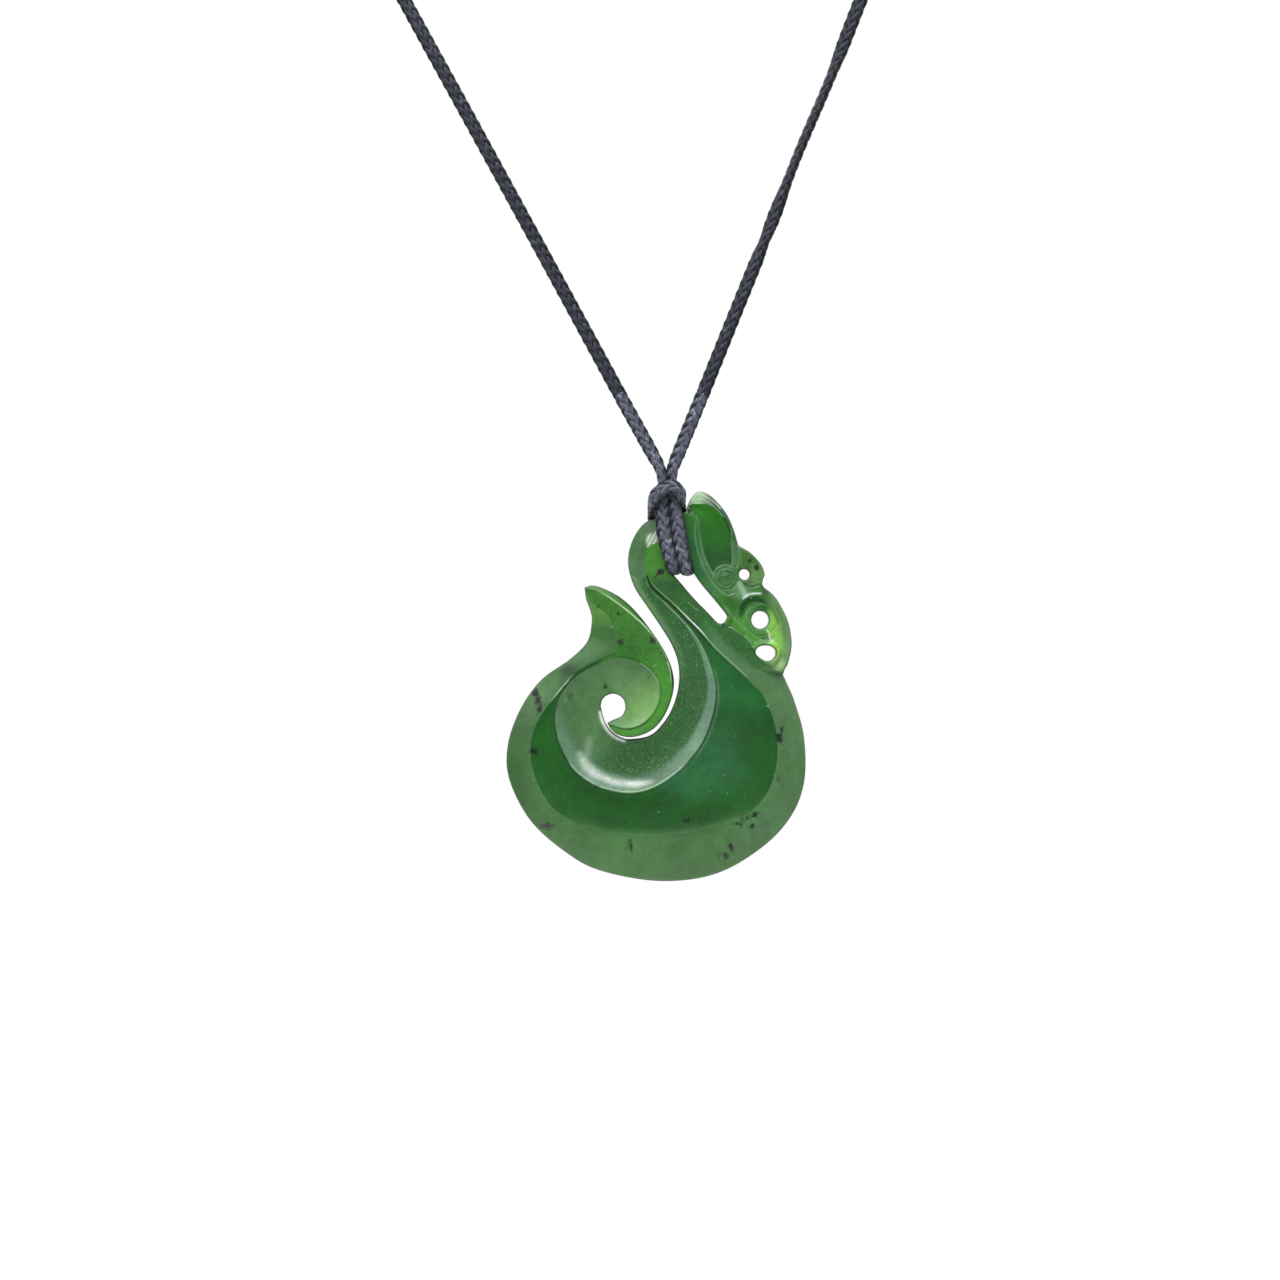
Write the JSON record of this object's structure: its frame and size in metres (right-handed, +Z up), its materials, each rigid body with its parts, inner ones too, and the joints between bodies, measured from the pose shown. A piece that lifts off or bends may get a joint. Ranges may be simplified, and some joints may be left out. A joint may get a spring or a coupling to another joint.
{
  "type": "greenstone manaia pendant",
  "caption": "Carved stone pendant with a hooked spiral body and a notched bird-like head, tied by a lark's head hitch to a closed loop of braided cord.",
  "frame": {"origin": "top of the cord's loop, in the middle of the nape knot, where the back of the neck carries it", "axes": "+X to the viewer's right, +Z up, the carved face looks along -Y"},
  "size_m": [0.1231, 0.0102, 0.2081],
  "materials": {
    "greenstone": "polished nephrite with satin bevels",
    "braided_cord": "flat braided cord, matte"
  },
  "bodies": {
    "root": {"greenstone_manaia": "greenstone", "cord_hitch": "braided_cord", "left_cord": "braided_cord", "right_cord": "braided_cord", "nape_knot": "braided_cord"}
  },
  "joints": []
}
